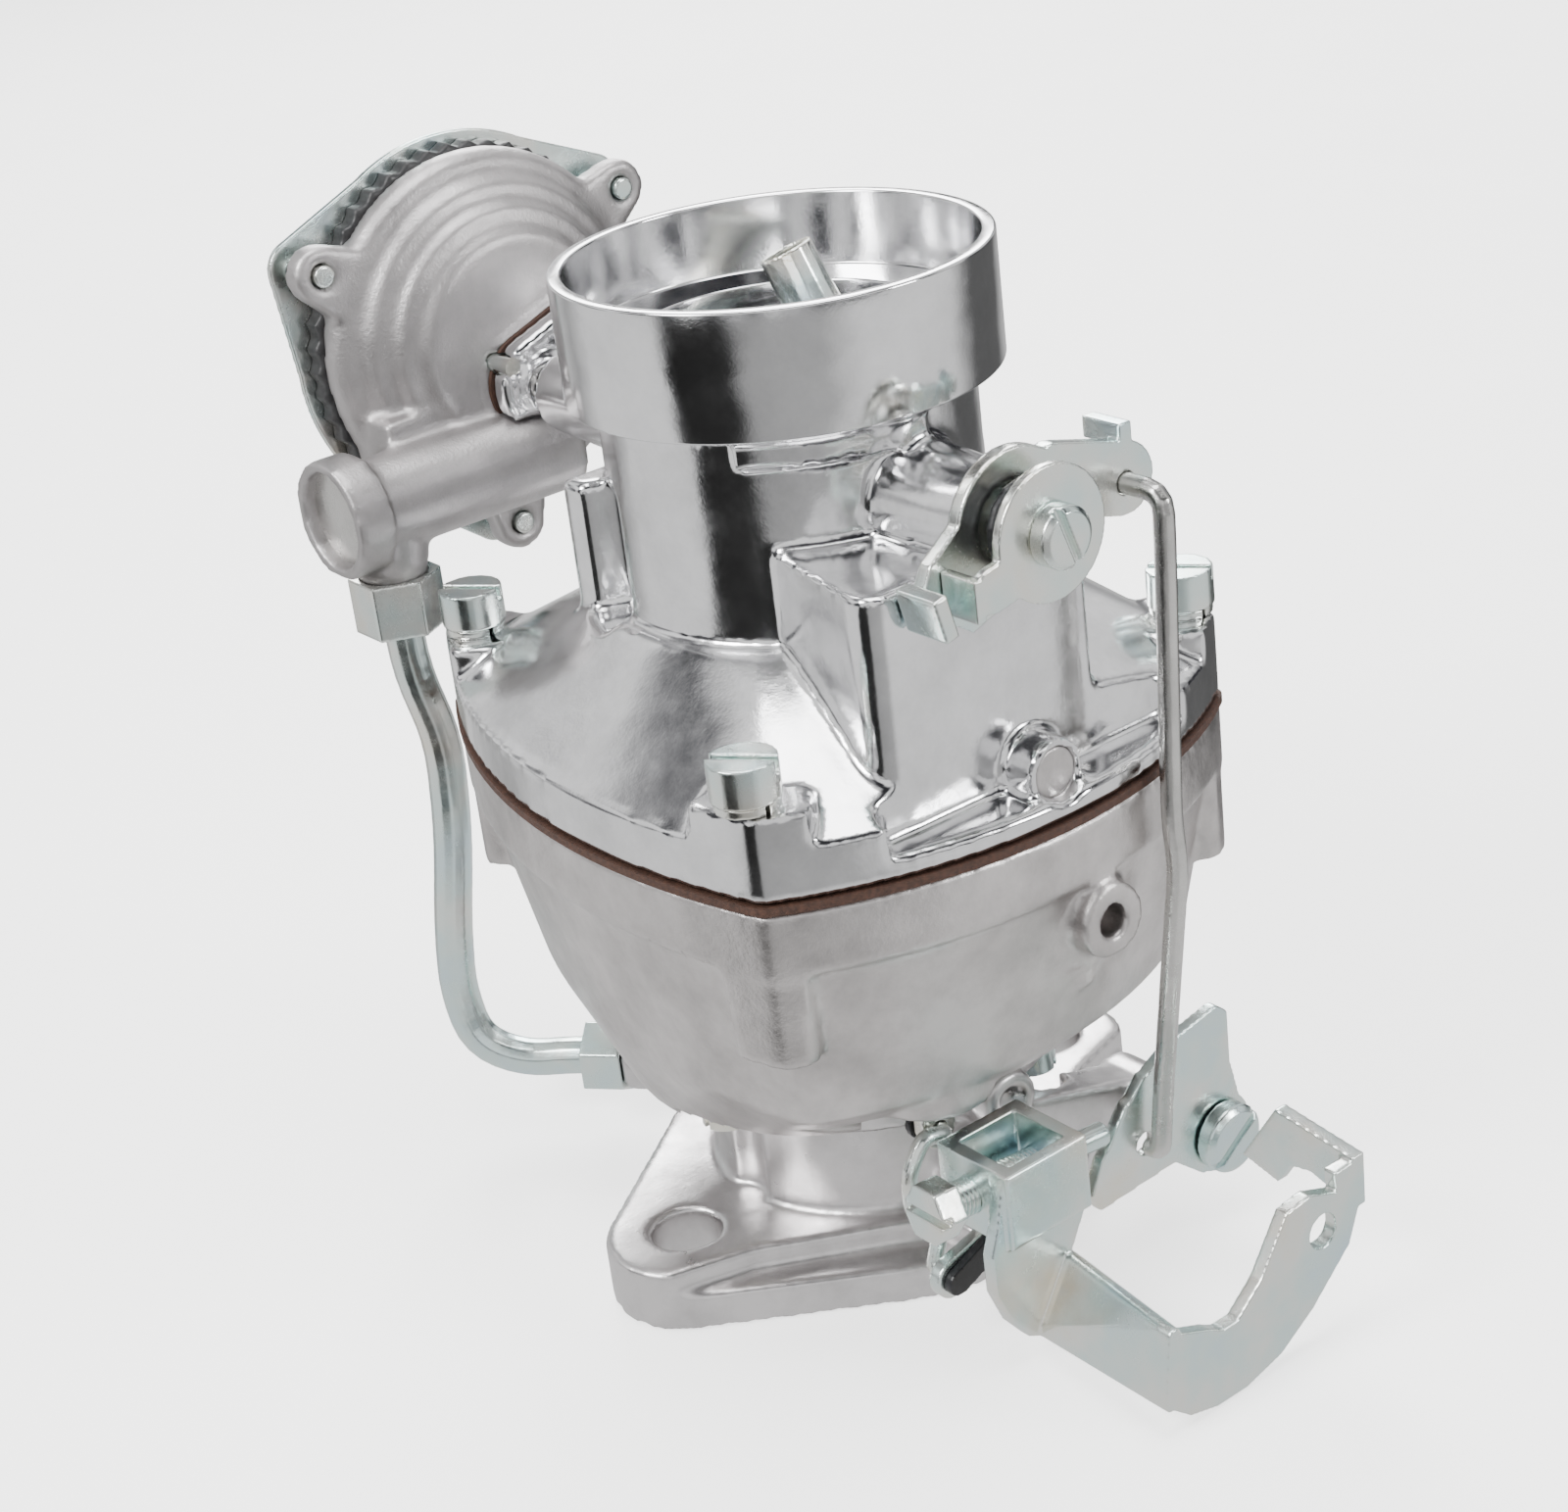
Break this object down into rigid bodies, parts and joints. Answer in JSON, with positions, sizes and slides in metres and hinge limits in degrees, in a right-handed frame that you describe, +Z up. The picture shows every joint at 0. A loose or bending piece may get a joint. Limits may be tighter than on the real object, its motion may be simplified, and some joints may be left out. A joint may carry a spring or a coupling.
{
  "type": "carburetor",
  "caption": "One-barrel downdraft carburetor with an automatic choke, two-stud flange, float bowl, accelerator pump and throttle linkage.",
  "frame": {"origin": "centre of the throttle bore on the face of the mounting flange", "axes": "+Z up the bore to the air cleaner collar, +X along the throttle shaft to the linkage, the two studs in a line along Y"},
  "size_m": [0.1724, 0.1078, 0.1597],
  "materials": {
    "cover_casting": "polished die casting",
    "bowl_casting": "matte die casting",
    "body_casting": "die casting with a brushed flange",
    "housing_casting": "blasted die casting",
    "zinc_plate": "clear zinc plating",
    "plain_steel": "drawn steel",
    "brass": "turned brass",
    "gasket": "compressed fibre",
    "black_steel": "black oxide",
    "black_rubber": "moulded",
    "black_plastic": "moulded"
  },
  "bodies": {
    "castings": {"throttle_body": "body_casting", "throttle_body_gasket": "gasket", "throttle_body_screws": "zinc_plate", "float_bowl": "bowl_casting", "bowl_gasket": "gasket", "air_horn": "cover_casting", "cover_screws": "zinc_plate", "cover_lock_washers": "zinc_plate", "vent_tube": "zinc_plate", "cover_plug": "bowl_casting", "booster_venturi": "bowl_casting", "main_well": "bowl_casting", "main_jet": "brass", "power_spring": "plain_steel", "power_valve": "brass", "needle_seat": "brass", "float_hinge_pin": "plain_steel", "inlet_fitting": "brass", "pump_spring": "plain_steel", "pump_check_ball": "plain_steel", "idle_mixture_spring": "plain_steel", "cam_screw": "zinc_plate", "choke_housing": "housing_casting", "choke_housing_gasket": "gasket", "choke_housing_screws": "zinc_plate", "piston_plug": "plain_steel", "choke_baffle": "plain_steel", "thermostat_cover": "black_plastic", "thermostat_retainer": "zinc_plate", "thermostat_screws": "zinc_plate", "bimetal_coil": "brass", "vacuum_tube": "zinc_plate", "tube_nut": "zinc_plate", "tube_fitting": "zinc_plate"},
    "throttle": {"throttle_shaft": "plain_steel", "throttle_plate": "brass", "throttle_plate_screws": "brass", "throttle_lever": "zinc_plate", "link_clip_lower": "black_steel"},
    "stop_screw": {"idle_stop_screw": "zinc_plate"},
    "mixture_screw": {"idle_mixture_screw": "brass"},
    "pump": {"pump_plunger": "zinc_plate", "pump_cup": "black_rubber"},
    "pump_wire": {"pump_link": "zinc_plate", "link_clip_upper": "black_steel"},
    "cam": {"fast_idle_cam": "zinc_plate"},
    "choke": {"choke_shaft": "plain_steel", "choke_plate": "plain_steel", "choke_plate_screws": "brass", "choke_trip_lever": "zinc_plate", "choke_lever_screw": "zinc_plate", "choke_inner_lever": "plain_steel"},
    "choke_outer_lever": {"choke_lever": "zinc_plate", "choke_lever_spring": "black_steel"},
    "rod": {"choke_rod": "plain_steel"},
    "vacuum_piston": {"choke_piston": "brass", "choke_piston_link": "plain_steel"},
    "float": {"float": "brass"},
    "needle": {"float_needle": "plain_steel"},
    "power": {"power_piston": "brass"}
  },
  "joints": [
    {"name": "throttle_turn", "type": "hinge", "parent": "castings", "child": "throttle", "pos_m": [0, 0, 0.0155], "axis": [1, 0, 0], "range_deg": [0, 70]},
    {"name": "stop_screw_turn", "type": "hinge", "parent": "throttle", "child": "stop_screw", "pos_m": [0.045, 0, 0.0246], "axis": [0, 0.9962, -0.0872], "range_deg": [-360, 360]},
    {"name": "mixture_screw_turn", "type": "hinge", "parent": "castings", "child": "mixture_screw", "pos_m": [0, 0, 0.021], "axis": [-0.5736, 0.8192, 0], "range_deg": [0, 720]},
    {"name": "pump_stroke", "type": "slide", "parent": "castings", "child": "pump", "axis": [0, 0, -1], "range_m": [0, 0.01859], "deforming": ["pump_spring"]},
    {"name": "pump_wire_turn", "type": "hinge", "parent": "pump", "child": "pump_wire", "pos_m": [0.034, -0.0145, 0.031], "axis": [1, 0, 0], "range_deg": [0, 50.12]},
    {"name": "cam_turn", "type": "hinge", "parent": "castings", "child": "cam", "pos_m": [0.044, 0.0307, 0.0134], "axis": [1, 0, 0], "range_deg": [0, 40.97]},
    {"name": "choke_turn", "type": "hinge", "parent": "castings", "child": "choke", "pos_m": [0, 0, 0.122], "axis": [-1, 0, 0], "range_deg": [0, 70]},
    {"name": "choke_lever_turn", "type": "hinge", "parent": "castings", "child": "choke_outer_lever", "pos_m": [0.044, 0, 0.122], "axis": [-1, 0, 0], "range_deg": [0, 35.05]},
    {"name": "rod_turn", "type": "hinge", "parent": "choke_outer_lever", "child": "rod", "pos_m": [0.044, 0.0199, 0.1214], "axis": [1, 0, 0], "range_deg": [0, 37.38]},
    {"name": "vacuum_piston_slide", "type": "slide", "parent": "castings", "child": "vacuum_piston", "axis": [0, -1, 0], "range_m": [0, 0.01333]},
    {"name": "float_turn", "type": "hinge", "parent": "castings", "child": "float", "pos_m": [-0.0425, 0, 0.0745], "axis": [0, 1, 0], "range_deg": [0, 8]},
    {"name": "needle_slide", "type": "slide", "parent": "castings", "child": "needle", "axis": [0, 0, -1], "range_m": [0, 0.00108]},
    {"name": "power_piston_slide", "type": "slide", "parent": "castings", "child": "power", "axis": [0, 0, -1], "range_m": [0, 0.005], "deforming": ["power_spring"]}
  ],
  "couplings": [
    {"joint": "pump_stroke", "follows": "throttle_turn", "m_per_rad": 0.015202},
    {"joint": "pump_wire_turn", "follows": "throttle_turn", "ratio": 0.71534},
    {"joint": "choke_lever_turn", "follows": "choke_turn", "ratio": 0.5},
    {"joint": "rod_turn", "follows": "choke_turn", "ratio": 0.53324},
    {"joint": "cam_turn", "follows": "choke_turn", "ratio": 0.58463},
    {"joint": "vacuum_piston_slide", "follows": "choke_turn", "m_per_rad": 0.010892},
    {"joint": "needle_slide", "follows": "float_turn", "m_per_rad": 0.007575}
  ]
}
